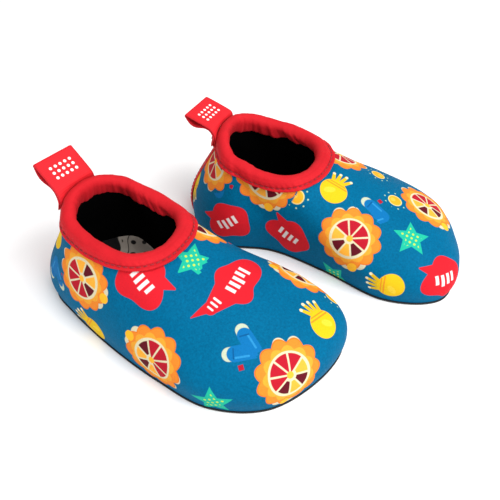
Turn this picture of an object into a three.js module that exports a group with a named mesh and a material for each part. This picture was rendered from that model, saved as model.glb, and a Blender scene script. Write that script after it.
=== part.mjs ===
// A pair of toddler's slip-on water shoes. Millimetres, +Z up, toes towards +Y, soles on z = 0.
// One shoe is built as a right shoe; the left one is its mirror image, set beside it and turned.
import * as THREE from "three";

// Overall sizes of one shoe.
const SHOE_LENGTH = 141; // sole edge, heel to toe
const BALL_WIDTH = 72; // sole edge, across the ball of the foot
const HEEL_WIDTH = 50; // sole edge, across the heel
const HEEL_HEIGHT = 58; // collar's top edge over the heel
const OUTER_HEIGHT = 51; // collar's top edge on the little-toe side
const INNER_HEIGHT = 48.5; // collar's top edge on the big-toe side
const THROAT_HEIGHT = 47; // collar's top edge over the instep

// The foot opening, measured on the collar's top edge.
const OPENING_SETBACK = 18; // from the sole's back edge forward to the opening's back
const OPENING_LENGTH = 46.5;
const OPENING_OUTER = 20; // from the middle line to the little-toe side
const OPENING_INNER = 22; // from the middle line to the big-toe side
const OVAL_ALONG = 2.4; // exponents of the opening's oval
const OVAL_ACROSS = 2.2;
const HEEL_PEAK = { reach: 1.8, ease: 1.6 }; // how fast the top edge falls forward from the heel
const THROAT_EASE = 1.5; // how late it changes height towards the instep

// Layers, each with its own thickness.
const OUTSOLE = 2; // rubber sheet under the shoe
const OUTSOLE_LIP = 0.4; // the sheet stands out past the upper by this much
const NEOPRENE = 2.5; // upper
const LINING = 0.8; // knitted lining inside the upper
const STROBEL = 1; // cloth board that closes the upper underneath
const INSOLE = 2.5;
const BINDING = 1.2; // collar binding
const BINDING_WIDTH = 8.5; // outside, from the top edge down
const BINDING_INSIDE = 8; // inside, from the top edge down
const ELASTIC_RADIUS = 1.5; // cord gathered into the collar
const THREAD_RADIUS = 0.35; // collar stitching
const SEAM_RADIUS = 0.5; // thick overlock thread round the strobel board
const STITCH_MARGIN = 1.5; // collar stitching above the binding's lower edge
const STITCH_STOP = 2.5; // collar stitching ends this far from the loop's sewn end
const CLEARANCE = 0.3; // between any two pieces that touch

// Heel trim and pull loop.
const HEEL_STRIP = 0.8; // strip sewn over the back seam
const HEEL_STRIP_WIDTH = 12;
const TAPE = 0.9; // webbing of the pull loop
const TAPE_WIDTH = 20;
const LOOP_LENGTH = 15.5; // from the hinge line to the folded tip
const LOOP_JOIN = 3; // the two layers stay together this far from the hinge line
const LOOP_BELLY = 2.6; // gap between the layers where they bow apart
const BELLY_SKEW = 1.3; // over 1: the gap is widest nearer the tip
const RIGHT_LOOP_LEAN = 34; // degrees above level, pointing back
const LEFT_LOOP_LEAN = 15;
const RIGHT_LOOP_TURN = -9; // degrees about the vertical
const LEFT_LOOP_TURN = 9;
const LOOP_SEAT = 45; // degrees round the collar's roll, from straight back to straight up
const BAR_TACK = 0.5; // height of the dense stitching that locks the loop
const BAR_TACK_WIDTH = 14;
const BAR_TACK_DEPTH = 2;

// Where the left shoe stands.
const LEFT_ACROSS = -84;
const LEFT_AHEAD = 27;
const LEFT_TURN = 11;

// Upper's outline. Each station stands on the sole edge, starting at the heel and going round by the
// little-toe side. across: share of the half width, which is the heel's (heelShare 1) or the ball's
// (heelShare 0); along: share of the length; round: share of the opening's length, and side the side
// of the opening it leads to; toe and heel: how much the wall there is shaped as the toe or the heel.
const STATIONS = [
  { across: 0, along: 0, heelShare: 1, round: 0, side: 0, toe: 0, heel: 1 },
  { across: 0.7, along: 0.05, heelShare: 1, round: 0.04, side: 1, toe: 0, heel: 0.8 },
  { across: 0.98, along: 0.17, heelShare: 1, round: 0.17, side: 1, toe: 0.1, heel: 0.3 },
  { across: 1.02, along: 0.365, heelShare: 0.5, round: 0.38, side: 1, toe: 0.15, heel: 0 },
  { across: 0.97, along: 0.565, heelShare: 0, round: 0.62, side: 1, toe: 0.38, heel: 0 },
  { across: 0.97, along: 0.75, heelShare: 0, round: 0.84, side: 1, toe: 0.68, heel: 0 },
  { across: 0.6, along: 0.91, heelShare: 0, round: 0.965, side: 1, toe: 0.9, heel: 0 },
  { across: -0.17, along: 0.99, heelShare: 0, round: 1, side: 0, toe: 1, heel: 0 },
  { across: -0.76, along: 0.965, heelShare: 0, round: 0.96, side: -1, toe: 0.9, heel: 0 },
  { across: -0.99, along: 0.785, heelShare: 0, round: 0.82, side: -1, toe: 0.6, heel: 0 },
  { across: -0.74, along: 0.56, heelShare: 0, round: 0.6, side: -1, toe: 0.25, heel: 0 },
  { across: -0.7, along: 0.36, heelShare: 0.5, round: 0.36, side: -1, toe: 0.15, heel: 0 },
  { across: -1.04, along: 0.17, heelShare: 1, round: 0.17, side: -1, toe: 0.1, heel: 0.3 },
  { across: -0.64, along: 0.05, heelShare: 1, round: 0.04, side: -1, toe: 0, heel: 0.8 },
];
// How the wall leaves the sole (bulge out, rise) and the collar (reach, slope below level).
const SIDE_SHAPE = { bulge: 5.5, rise: 17, reach: 18, slope: 77 };
const HEEL_SHAPE = { bulge: 5, rise: 20, reach: 18, slope: 87 };
const TOE_SHAPE = { bulge: 7.5, rise: 23, reach: 57, slope: 19 };

const RING_STEPS = 40; // sections round every ring
const WALL_STEPS = 5; // rows between the binding and the insole's top
const STATION_STEP = 0.002; // for slopes along the outline

const UPPER_FOOT = OUTSOLE + CLEARANCE;
const BOARD_TOP = UPPER_FOOT + STROBEL;
const INSOLE_FOOT = BOARD_TOP + CLEARANCE;
const LINING_DEPTH = NEOPRENE + CLEARANCE;
const WALL_DEPTH = LINING_DEPTH + LINING;
const ROLL_OUTSIDE = BINDING + CLEARANCE; // the binding stands this far out from the upper
const ROLL_INSIDE = WALL_DEPTH + CLEARANCE; // depth of the binding's inner leg
const ROLL_RADIUS = (ROLL_OUTSIDE + ROLL_INSIDE + BINDING) / 2;
const ROLL_DEPTH = ROLL_RADIUS - ROLL_OUTSIDE;
const WALL_TOP = ROLL_RADIUS + ELASTIC_RADIUS + CLEARANCE; // neoprene stops below the elastic
const LINING_LIFT = INSOLE_FOOT - UPPER_FOOT + CLEARANCE;

const radians = THREE.MathUtils.degToRad;

function shapeOf(station, key) {
  const side = SIDE_SHAPE[key] * (1 - station.toe - station.heel * (1 - station.toe));
  return side + HEEL_SHAPE[key] * station.heel * (1 - station.toe) + TOE_SHAPE[key] * station.toe;
}

function solePoint(station) {
  const width = THREE.MathUtils.lerp(BALL_WIDTH, HEEL_WIDTH, station.heelShare);
  const y = (station.along - 0.5) * SHOE_LENGTH;
  return new THREE.Vector3((station.across * width) / 2, y, UPPER_FOOT);
}

function openingPoint(station) {
  const halfWidth = station.side > 0 ? OPENING_OUTER : OPENING_INNER;
  const oval = Math.max(0, 1 - Math.abs(2 * station.round - 1) ** OVAL_ALONG) ** (1 / OVAL_ACROSS);
  const sideHeight = [INNER_HEIGHT, (INNER_HEIGHT + OUTER_HEIGHT) / 2, OUTER_HEIGHT][station.side + 1];
  const toHeel = Math.max(0, 1 - HEEL_PEAK.reach * station.round) ** HEEL_PEAK.ease;
  const toThroat = Math.max(0, 2 * station.round - 1) ** THROAT_EASE;
  const z = sideHeight + (HEEL_HEIGHT - sideHeight) * toHeel + (THROAT_HEIGHT - sideHeight) * toThroat;
  const y = OPENING_SETBACK - SHOE_LENGTH / 2 + station.round * OPENING_LENGTH;
  return new THREE.Vector3(station.side * halfWidth * oval, y, z);
}

function closedCurve(points) {
  return new THREE.CatmullRomCurve3(points, true, "catmullrom", 0.5);
}

const soleEdge = closedCurve(STATIONS.map(solePoint));
const openingEdge = closedCurve(STATIONS.map(openingPoint));
const wallShape = closedCurve(
  STATIONS.map((s) => new THREE.Vector3(shapeOf(s, "bulge"), shapeOf(s, "rise"), shapeOf(s, "reach"))),
);
const wallSlope = closedCurve(STATIONS.map((s) => new THREE.Vector3(shapeOf(s, "slope"), 0, 0)));

// Point of the sole's edge moved in by inset, at height z.
function soleInset(t, inset, z) {
  const along = soleEdge.getTangent(t);
  const point = soleEdge.getPoint(t);
  return new THREE.Vector3(point.x - along.y * inset, point.y + along.x * inset, z);
}

// One rib of the upper's outside face: a curve from the sole edge up to the collar's top edge.
const ribs = new Map();
function rib(t) {
  const turn = ((t % 1) + 1) % 1;
  if (ribs.has(turn)) return ribs.get(turn);
  const foot = soleEdge.getPoint(turn);
  const top = openingEdge.getPoint(turn);
  const shape = wallShape.getPoint(turn);
  const slope = radians(wallSlope.getPoint(turn).x);
  const low = soleInset(turn, -shape.x, UPPER_FOOT + shape.y);
  const away = new THREE.Vector3(foot.x - top.x, foot.y - top.y, 0).setLength(Math.cos(slope) * shape.z);
  const high = top.clone().add(away);
  high.z -= Math.sin(slope) * shape.z;
  const curve = new THREE.CubicBezierCurve3(foot, low, high, top);
  curve.arcLengthDivisions = 80;
  ribs.set(turn, curve);
  return curve;
}

// Point of the shoe's wall: drop is measured down the outside from the collar's top edge, depth is
// measured into the wall.
function wallPoint(t, drop, depth) {
  const curve = rib(t);
  const share = 1 - drop / curve.getLength();
  const ahead = rib(t + STATION_STEP).getPointAt(share);
  const behind = rib(t - STATION_STEP).getPointAt(share);
  const outward = ahead.sub(behind).cross(curve.getTangentAt(share)).normalize();
  return curve.getPointAt(share).addScaledVector(outward, -depth);
}

// Station whose wall point lies at a given x near the heel.
function heelStation(x, drop) {
  let near = 0;
  let far = (2 * Math.sign(x)) / STATIONS.length;
  for (let i = 0; i < 24; i += 1) {
    const middle = (near + far) / 2;
    if (Math.abs(wallPoint(middle, drop, 0).x) < Math.abs(x)) near = middle;
    else far = middle;
  }
  return near;
}

function solid(points, triangles) {
  const geometry = new THREE.BufferGeometry();
  const numbers = points.flatMap((p) => [p.x, p.y, p.z]);
  geometry.setAttribute("position", new THREE.Float32BufferAttribute(numbers, 3));
  let volume = 0;
  for (const [a, b, c] of triangles) volume += points[a].clone().cross(points[b]).dot(points[c]);
  geometry.setIndex(triangles.flatMap(([a, b, c]) => (volume > 0 ? [a, b, c] : [a, c, b])));
  geometry.computeVertexNormals();
  return geometry;
}

// Skin over equal sections. A ring closes on itself; a strip is capped by joining each section's
// point i to its point n - 1 - i.
function loft(sections, isRing) {
  const count = sections[0].length;
  const triangles = [];
  const joints = isRing ? sections.length : sections.length - 1;
  for (let s = 0; s < joints; s += 1) {
    const here = s * count;
    const next = ((s + 1) % sections.length) * count;
    for (let i = 0; i < count; i += 1) {
      const j = (i + 1) % count;
      triangles.push([here + i, here + j, next + j], [here + i, next + j, next + i]);
    }
  }
  if (!isRing) {
    const last = (sections.length - 1) * count;
    for (let i = 0; i < count / 2 - 1; i += 1) {
      const j = count - 1 - i;
      triangles.push([i, j, i + 1], [last + i, last + i + 1, last + j]);
      if (j - 1 > i + 1) {
        triangles.push([i + 1, j, j - 1], [last + i + 1, last + j - 1, last + j]);
      }
    }
  }
  return solid(sections.flat(), triangles);
}

function ringStations() {
  return Array.from({ length: RING_STEPS }, (_, i) => i / RING_STEPS);
}

function wallRing(profile) {
  const section = (t) => profile(t).map(([drop, depth]) => wallPoint(t, drop, depth));
  return loft(ringStations().map(section), true);
}

// Drops of the wall's rows: neoprene's top edge, binding's edge, even steps to just above the
// insole, then the lining's foot.
function wallRows(t) {
  const foot = rib(t).getLength();
  const rows = [WALL_TOP, BINDING_WIDTH];
  const low = foot - LINING_LIFT - INSOLE;
  for (let i = 1; i <= WALL_STEPS; i += 1) {
    rows.push(THREE.MathUtils.lerp(BINDING_WIDTH, low, i / WALL_STEPS));
  }
  return [...rows, foot - LINING_LIFT];
}

// Section of a sheet: down one face and up the other. The upper's inner face and the lining's outer
// face both run up, so their facets match.
function sheetProfile(rows, downFace, upFace) {
  return [...rows.map((drop) => [drop, downFace]), ...rows.toReversed().map((drop) => [drop, upFace])];
}

function upper() {
  return wallRing((t) => sheetProfile([...wallRows(t), rib(t).getLength()], 0, NEOPRENE));
}

function lining() {
  return wallRing((t) => sheetProfile(wallRows(t), WALL_DEPTH, LINING_DEPTH));
}

// Section points of a round cord: middle at (drop, depth) in the wall's own directions.
function cordProfile(drop, depth, radius, sides) {
  return Array.from({ length: sides }, (_, i) => {
    const angle = (2 * Math.PI * (i + 0.5)) / sides;
    return [drop + radius * Math.cos(angle), depth + radius * Math.sin(angle)];
  });
}

function collarElastic() {
  return wallRing(() => cordProfile(ROLL_RADIUS, ROLL_DEPTH, ELASTIC_RADIUS, 6));
}

// The binding's section is a hook: outer leg, half-round roll, inner leg, and back along its inside.
function collarBand() {
  const bends = [0, 45, 90, 135, 180];
  const arc = (radius) =>
    bends.map((angle) => [
      ROLL_RADIUS - radius * Math.sin(radians(angle)),
      ROLL_DEPTH - radius * Math.cos(radians(angle)),
    ]);
  const inner = ROLL_RADIUS - BINDING;
  const innerFace = ROLL_INSIDE + BINDING;
  const outside = [[BINDING_WIDTH, -ROLL_OUTSIDE], ...arc(ROLL_RADIUS), [BINDING_INSIDE, innerFace]];
  const inside = [[BINDING_INSIDE, ROLL_INSIDE], ...arc(inner).toReversed(), [BINDING_WIDTH, -CLEARANCE]];
  return wallRing(() => [...outside, ...inside]);
}

const SEWN_FACE = ROLL_OUTSIDE + CLEARANCE; // inner face of the loop's sewn end
const TACK_FACE = SEWN_FACE + 2 * TAPE + CLEARANCE;

function collarStitch() {
  const drop = BINDING_WIDTH - STITCH_MARGIN;
  const depth = -(ROLL_OUTSIDE + CLEARANCE + THREAD_RADIUS);
  const start = heelStation(TAPE_WIDTH / 2 + STITCH_STOP, drop);
  const stations = ringStations().filter((t) => t > start && t < 1 - start);
  const points = [start, ...stations, 1 - start];
  const profile = cordProfile(drop, depth, THREAD_RADIUS, 4);
  return loft(points.map((t) => profile.map(([d, into]) => wallPoint(t, d, into))), false);
}

// A patch on the back of the heel: width across, rows down the wall, faces out from the wall.
function heelPatch(width, drops, innerFace, outerFace) {
  const steps = 6;
  const columns = Array.from({ length: steps + 1 }, (_, i) => width * (i / steps - 0.5));
  const row = (drop, face) => columns.map((x) => wallPoint(heelStation(x, drop), drop, -face));
  return loft(drops.map((drop) => [...row(drop, outerFace), ...row(drop, innerFace).toReversed()]), false);
}

function heelStrip() {
  const top = BINDING_WIDTH + CLEARANCE;
  const foot = rib(0).getLength() - 2 * CLEARANCE;
  const rows = [top, ...wallRows(0).slice(2), foot];
  return heelPatch(HEEL_STRIP_WIDTH, rows, CLEARANCE, CLEARANCE + HEEL_STRIP);
}

function loopSewnEnd() {
  const top = ROLL_RADIUS;
  const drops = [top, (top + BINDING_WIDTH) / 2, BINDING_WIDTH];
  return heelPatch(TAPE_WIDTH, drops, SEWN_FACE, SEWN_FACE + 2 * TAPE);
}

function loopBarTack() {
  const top = BINDING_WIDTH - STITCH_MARGIN - BAR_TACK_DEPTH;
  return heelPatch(BAR_TACK_WIDTH, [top, top + BAR_TACK_DEPTH], TACK_FACE, TACK_FACE + BAR_TACK);
}

// The pull loop's side view: a flat front layer, a fold at the tip and a bowed back layer.
function pullLoop() {
  const fold = LOOP_LENGTH - TAPE;
  const steps = 8;
  const back = (side) =>
    Array.from({ length: steps + 1 }, (_, i) => {
      const share = i / steps;
      const bow = LOOP_BELLY * Math.sin(Math.PI * share ** BELLY_SKEW);
      return new THREE.Vector2(THREE.MathUtils.lerp(LOOP_JOIN, fold, share), -bow - side);
    });
  const outline = new THREE.Shape();
  outline.moveTo(fold, TAPE);
  outline.lineTo(0, TAPE);
  outline.absarc(0, 0, TAPE, Math.PI / 2, (3 * Math.PI) / 2, false);
  for (const point of back(TAPE)) outline.lineTo(point.x, point.y);
  outline.absarc(fold, 0, TAPE, -Math.PI / 2, Math.PI / 2, false);
  outline.holes.push(new THREE.Path(back(0)));
  const geometry = new THREE.ExtrudeGeometry(outline, {
    depth: TAPE_WIDTH,
    bevelEnabled: false,
    curveSegments: 6,
  });
  geometry.translate(0, 0, -TAPE_WIDTH / 2);
  // the side view's x points back along the loop and its y up, out of the front face
  geometry.applyMatrix4(
    new THREE.Matrix4().makeBasis(
      new THREE.Vector3(0, -1, 0),
      new THREE.Vector3(0, 0, 1),
      new THREE.Vector3(-1, 0, 0),
    ),
  );
  return geometry;
}

// The loop turns about a line that runs across the shoe, just off the collar's roll.
function loopHinge() {
  const roll = wallPoint(0, ROLL_RADIUS, ROLL_DEPTH);
  const reach = ROLL_RADIUS + CLEARANCE + TAPE;
  const seat = radians(LOOP_SEAT);
  return new THREE.Vector3(0, roll.y - reach * Math.cos(seat), roll.z + reach * Math.sin(seat));
}

function plate(inset, foot, thickness) {
  const outline = ringStations().map((t) => soleInset(t, inset, 0));
  const shape = new THREE.Shape(outline.map((p) => new THREE.Vector2(p.x, p.y)));
  const geometry = new THREE.ExtrudeGeometry(shape, { depth: thickness, bevelEnabled: false });
  return geometry.translate(0, 0, foot);
}

function strobelBoard() {
  return plate(LINING_DEPTH + 2 * SEAM_RADIUS + CLEARANCE, UPPER_FOOT, STROBEL);
}

function strobelSeam() {
  const inset = NEOPRENE + CLEARANCE + SEAM_RADIUS;
  const middle = UPPER_FOOT + STROBEL / 2;
  const profile = cordProfile(inset, middle, SEAM_RADIUS, 4);
  return loft(ringStations().map((t) => profile.map(([into, z]) => soleInset(t, into, z))), true);
}

const RED = 0xe8323a;
const BLACK = 0x141414;
const PARTS = [
  ["outsole", () => plate(-OUTSOLE_LIP, 0, OUTSOLE), BLACK, 0.8],
  ["strobel_board", strobelBoard, 0xb8b0a0, 0.95],
  ["strobel_seam", strobelSeam, 0x2a2a2c, 0.9],
  ["upper", upper, 0x0078a8, 0.85],
  ["heel_strip", heelStrip, RED, 0.85],
  ["lining", lining, BLACK, 0.95],
  ["insole", () => plate(WALL_DEPTH + 2 * CLEARANCE, INSOLE_FOOT, INSOLE), 0x1c1c1e, 0.95],
  ["collar_band", collarBand, RED, 0.8],
  ["collar_elastic", collarElastic, 0xf0f0ee, 0.9],
  ["collar_stitch", collarStitch, 0xc02030, 0.9],
  ["loop_sewn_end", loopSewnEnd, RED, 0.85],
  ["loop_bar_tack", loopBarTack, 0xc02030, 0.9],
];

function namedMesh(name, geometry, color, roughness) {
  const mesh = new THREE.Mesh(geometry, new THREE.MeshStandardMaterial({ color, roughness, metalness: 0 }));
  mesh.name = name;
  return mesh;
}

function shoe(prefix, loopLean, loopTurn) {
  const group = new THREE.Group();
  for (const [name, build, color, roughness] of PARTS) {
    group.add(namedMesh(`${prefix}_${name}`, build(), color, roughness));
  }
  const loop = namedMesh(`${prefix}_pull_loop`, pullLoop(), RED, 0.85);
  loop.position.copy(loopHinge());
  loop.rotation.set(radians(-loopLean), 0, radians(loopTurn), "ZYX");
  group.add(loop);
  return group;
}

const right = shoe("right", RIGHT_LOOP_LEAN, RIGHT_LOOP_TURN);
const left = shoe("left", LEFT_LOOP_LEAN, LEFT_LOOP_TURN);
left.scale.x = -1;
left.position.set(LEFT_ACROSS, LEFT_AHEAD, 0);
left.rotation.z = radians(LEFT_TURN);

const pair = new THREE.Group();
pair.add(right, left);
// the pair's own centre, on the floor, is the origin
const box = new THREE.Box3().setFromObject(pair, true);
pair.position.set(-(box.min.x + box.max.x) / 2, -(box.min.y + box.max.y) / 2, 0);

export default pair;
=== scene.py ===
import math

import bpy
import numpy as np
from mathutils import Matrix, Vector, noise


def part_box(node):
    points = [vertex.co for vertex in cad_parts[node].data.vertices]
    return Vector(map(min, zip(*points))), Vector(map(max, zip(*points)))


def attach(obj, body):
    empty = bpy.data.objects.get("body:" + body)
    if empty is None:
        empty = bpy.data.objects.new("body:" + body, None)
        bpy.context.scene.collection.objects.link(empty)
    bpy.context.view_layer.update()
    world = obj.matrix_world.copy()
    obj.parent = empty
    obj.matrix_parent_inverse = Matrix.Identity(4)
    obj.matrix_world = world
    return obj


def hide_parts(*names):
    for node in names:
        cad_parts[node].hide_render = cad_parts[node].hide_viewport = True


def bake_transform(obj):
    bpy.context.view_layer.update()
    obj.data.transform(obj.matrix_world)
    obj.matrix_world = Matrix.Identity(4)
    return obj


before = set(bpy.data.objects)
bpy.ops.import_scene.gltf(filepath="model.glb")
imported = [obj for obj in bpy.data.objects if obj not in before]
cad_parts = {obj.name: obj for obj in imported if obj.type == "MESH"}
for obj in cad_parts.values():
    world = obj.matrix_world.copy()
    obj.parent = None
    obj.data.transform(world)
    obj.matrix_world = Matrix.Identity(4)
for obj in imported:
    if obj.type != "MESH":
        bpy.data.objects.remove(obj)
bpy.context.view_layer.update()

# ---------------------------------------------------------------------------------------------
# Outsoles. A thin sheet of black rubber is glued under each shoe. It is moulded with hexagonal
# studs inside a plain rim, and its edge is tucked in under the upper. Sizes are in millimetres.
# ---------------------------------------------------------------------------------------------
SHOE_LENGTH = 141
BALL_WIDTH = 72
HEEL_WIDTH = 50
OUTSOLE_TOP = 2.0
STUD_PITCH = 6.2
STUD_RADIUS = 2.6
STUD_HEIGHT = 0.8
EDGE_POINTS = 240
LEFT_TURN = math.radians(11)
# Stations round the sole, from the heel by the little-toe side: share of the half width, share of
# the length, heel share of the width, share of the opening's length, side of the opening, and how
# much the wall above is shaped as the toe or the heel.
STATIONS = np.array([
    (0, 0, 1, 0, 0, 0, 1),
    (0.7, 0.05, 1, 0.04, 1, 0, 0.8),
    (0.98, 0.17, 1, 0.17, 1, 0.1, 0.3),
    (1.02, 0.365, 0.5, 0.38, 1, 0.15, 0),
    (0.97, 0.565, 0, 0.62, 1, 0.38, 0),
    (0.97, 0.75, 0, 0.84, 1, 0.68, 0),
    (0.6, 0.91, 0, 0.965, 1, 0.9, 0),
    (-0.17, 0.99, 0, 1, 0, 1, 0),
    (-0.76, 0.965, 0, 0.96, -1, 0.9, 0),
    (-0.99, 0.785, 0, 0.82, -1, 0.6, 0),
    (-0.74, 0.56, 0, 0.6, -1, 0.25, 0),
    (-0.7, 0.36, 0.5, 0.36, -1, 0.15, 0),
    (-1.04, 0.17, 1, 0.17, -1, 0.1, 0.3),
    (-0.64, 0.05, 1, 0.04, -1, 0, 0.8),
])


def along_loop(keys, t, slope=False):
    """Smooth closed curve through evenly spaced keys, or its slope, at shares t of the way round."""
    count = len(keys)
    place_in = (np.asarray(t, float) % 1) * count
    first = np.floor(place_in).astype(int)
    f = (place_in - first)[..., None]
    a, b, c, d = (keys[(first + k) % count] for k in (-1, 0, 1, 2))
    if slope:
        return (c - a) / 2 + (2 * a - 5 * b + 4 * c - d) * f + 1.5 * (3 * b - a - 3 * c + d) * f * f
    squared = a - 2.5 * b + 2 * c - d / 2
    cubed = 1.5 * b - a / 2 - 1.5 * c + d / 2
    return b + (c - a) * f / 2 + squared * f * f + cubed * f**3


SOLE_KEYS = np.stack([
    STATIONS[:, 0] * (BALL_WIDTH + (HEEL_WIDTH - BALL_WIDTH) * STATIONS[:, 2]) / 2,
    (STATIONS[:, 1] - 0.5) * SHOE_LENGTH,
], axis=1)


def sole_line(t, inset, height):
    """Points of the sole's outline, moved in by inset."""
    point = along_loop(SOLE_KEYS, t)
    run = along_loop(SOLE_KEYS, t, slope=True)
    run /= np.linalg.norm(run, axis=-1, keepdims=True)
    inward = np.stack([-run[..., 1], run[..., 0]], axis=-1)
    flat = point + inward * np.asarray(inset, float)[..., None]
    return np.concatenate([flat, np.broadcast_to(height, flat[..., :1].shape)], axis=-1)


def turned(points, side):
    """The left shoe is the right one's mirror image, turned on the floor."""
    points = np.array(points, float)
    if side == "right":
        return points
    x, y = -points[..., 0], points[..., 1].copy()
    points[..., 0] = x * math.cos(LEFT_TURN) - y * math.sin(LEFT_TURN)
    points[..., 1] = x * math.sin(LEFT_TURN) + y * math.cos(LEFT_TURN)
    return points


def shoe_origin(side):
    """Where one shoe's own origin stands, found from its outsole."""
    low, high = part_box(f"{side}_outsole")
    line = turned(sole_line(np.arange(700) / 700, np.zeros(700), 0), side)
    middle = (line.min(axis=0) + line.max(axis=0)) / 2
    return np.array([500 * (low.x + high.x) - middle[0], 500 * (low.y + high.y) - middle[1], 0])


SIDES = ("right", "left")
ORIGIN = {side: shoe_origin(side) for side in SIDES}


def placed(points, side):
    """From one shoe's own millimetres to metres in the pair's frame."""
    return (turned(points, side) + ORIGIN[side]) / 1000


def mesh_piece(name, side, points, faces, crease=50):
    """A mesh of one shoe, faces outward, smooth except at edges sharper than crease degrees."""
    points = placed(np.asarray(points).reshape(-1, 3), side)
    mesh = bpy.data.meshes.new(f"{side}_{name}")
    mesh.from_pydata(points.tolist(), [], faces)
    mesh.calc_loop_triangles()
    corner = points[np.array([triangle.vertices for triangle in mesh.loop_triangles])]
    volume = np.einsum("ij,ij->", corner[:, 0], np.cross(corner[:, 1], corner[:, 2]))
    if volume < 0:
        mesh.flip_normals()
    mesh.shade_smooth()
    mesh.set_sharp_from_angle(angle=math.radians(crease))
    mesh.update()
    piece = bpy.data.objects.new(f"{side}_{name}", mesh)
    bpy.context.scene.collection.objects.link(piece)
    return piece


def lofted(grid, ring, offset=0):
    """Faces over rows of closed sections. A ring's rows close on themselves; others are capped."""
    rows, count = grid.shape[:2]
    i, j = np.meshgrid(np.arange(rows if ring else rows - 1), np.arange(count), indexing="ij")
    here, across = i * count + j, i * count + (j + 1) % count
    ahead = ((i + 1) % rows) * count
    quads = np.stack([here, across, ahead + (j + 1) % count, ahead + j], axis=-1).reshape(-1, 4) + offset
    faces = quads.tolist()
    if not ring:
        faces.append([offset + k for k in range(count)][::-1])
        faces.append([offset + (rows - 1) * count + k for k in range(count)])
    return faces


class Field:
    """A number that varies over a surface, kept as an output socket of a material's nodes."""

    def __init__(self, socket):
        self.socket = socket

    def math(self, operation, *others, clamp=False):
        node = self.socket.id_data.nodes.new("ShaderNodeMath")
        node.operation = operation
        node.use_clamp = clamp
        for slot, value in zip(node.inputs, (self, *others)):
            if isinstance(value, Field):
                self.socket.id_data.links.new(value.socket, slot)
            else:
                slot.default_value = value
        return Field(node.outputs[0])

    def __add__(self, other):
        return self.math("ADD", other)

    def __sub__(self, other):
        return self.math("SUBTRACT", other)

    def __rsub__(self, other):
        return self.math("MULTIPLY_ADD", -1.0, other)

    def __mul__(self, other):
        return self.math("MULTIPLY", other)

    def __truediv__(self, other):
        return self.math("DIVIDE", other)

    __radd__ = __add__
    __rmul__ = __mul__

    def size(self):
        return self.math("ABSOLUTE")

    def least(self, other):
        return self.math("MINIMUM", other)

    def most(self, other):
        return self.math("MAXIMUM", other)

    def cell(self, pitch):
        """Distance from the middle of the nearest cell of a repeat."""
        return (self / pitch + 0.5).math("FRACT") * pitch - pitch / 2


def length_of(x, y):
    return (x * x + y * y).math("SQRT")


def inside(distance, soft=0.14):
    """1 where a distance is below nought, 0 above, with a narrow soft edge."""
    return distance.math("MULTIPLY_ADD", -0.5 / soft, 0.5, clamp=True)


def colour(code):
    """A colour written as red, green and blue in two hexadecimal digits each."""
    parts = [int(code[i:i + 2], 16) / 255 for i in (0, 2, 4)]
    return tuple(p / 12.92 if p <= 0.04045 else ((p + 0.055) / 1.055) ** 2.4 for p in parts) + (1,)


class Finish:
    """A material of woven, knitted or moulded stuff, measured in millimetres."""

    def __init__(self, name, roughness, sheen=0.0, sheen_colour="FFFFFF", specular=0.3):
        self.material = bpy.data.materials.new(name)
        self.material.use_nodes = True
        self.nodes = self.material.node_tree.nodes
        self.links = self.material.node_tree.links
        self.shader = self.nodes["Principled BSDF"]
        self.shader.inputs["Roughness"].default_value = roughness
        self.shader.inputs["Sheen Weight"].default_value = sheen
        self.shader.inputs["Sheen Roughness"].default_value = 0.5
        self.shader.inputs["Sheen Tint"].default_value = colour(sheen_colour)
        self.shader.inputs["Specular IOR Level"].default_value = specular
        self.coordinates = self.nodes.new("ShaderNodeTexCoord")

    def xyz(self):
        split = self.nodes.new("ShaderNodeSeparateXYZ")
        self.links.new(self.coordinates.outputs["Object"], split.inputs[0])
        return [Field(output) * 1000 for output in split.outputs]

    def uv(self, name):
        node = self.nodes.new("ShaderNodeUVMap")
        node.uv_map = name
        split = self.nodes.new("ShaderNodeSeparateXYZ")
        self.links.new(node.outputs[0], split.inputs[0])
        return Field(split.outputs[0]), Field(split.outputs[1])

    def cloud(self, size, detail=2.0, roughness=0.5):
        """Uneven patches about so many millimetres across, 0 to 1."""
        node = self.nodes.new("ShaderNodeTexNoise")
        node.inputs["Scale"].default_value = 1000 / size
        node.inputs["Detail"].default_value = detail
        node.inputs["Roughness"].default_value = roughness
        self.links.new(self.coordinates.outputs["Object"], node.inputs["Vector"])
        return Field(node.outputs["Fac"])

    def cells(self, size, feature="F1"):
        """Distance from scattered middles about so many millimetres apart."""
        node = self.nodes.new("ShaderNodeTexVoronoi")
        node.feature = feature
        node.inputs["Scale"].default_value = 1000 / size
        self.links.new(self.coordinates.outputs["Object"], node.inputs["Vector"])
        return Field(node.outputs["Distance"])

    def mix(self, base, top, cover):
        """Colour top laid over base where cover is 1. Either is a code or an earlier mix."""
        node = self.nodes.new("ShaderNodeMix")
        node.data_type = "RGBA"
        for slot, value in (("A_Color", base), ("B_Color", top)):
            slot_in = next(s for s in node.inputs if s.identifier == slot)
            if isinstance(value, Field):
                self.links.new(value.socket, slot_in)
            else:
                slot_in.default_value = colour(value)
        self.links.new(cover.socket, node.inputs["Factor"])
        return Field(next(s for s in node.outputs if s.identifier == "Result_Color"))

    def paint(self, mixed):
        self.links.new(mixed.socket, self.shader.inputs["Base Color"])

    def vary_roughness(self, field):
        self.links.new(field.socket, self.shader.inputs["Roughness"])

    def relief(self, height, depth):
        """Fine relief: height from 0 to 1 stands for depth millimetres."""
        bump = self.nodes.new("ShaderNodeBump")
        bump.inputs["Distance"].default_value = depth / 1000
        bump.inputs["Strength"].default_value = 1.0
        self.links.new(height.socket, bump.inputs["Height"])
        self.links.new(bump.outputs[0], self.shader.inputs["Normal"])


def wear(piece, finish):
    """Gives a piece its finish, in its only material slot."""
    piece.data.materials.clear()
    piece.data.materials.append(finish.material)


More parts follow.
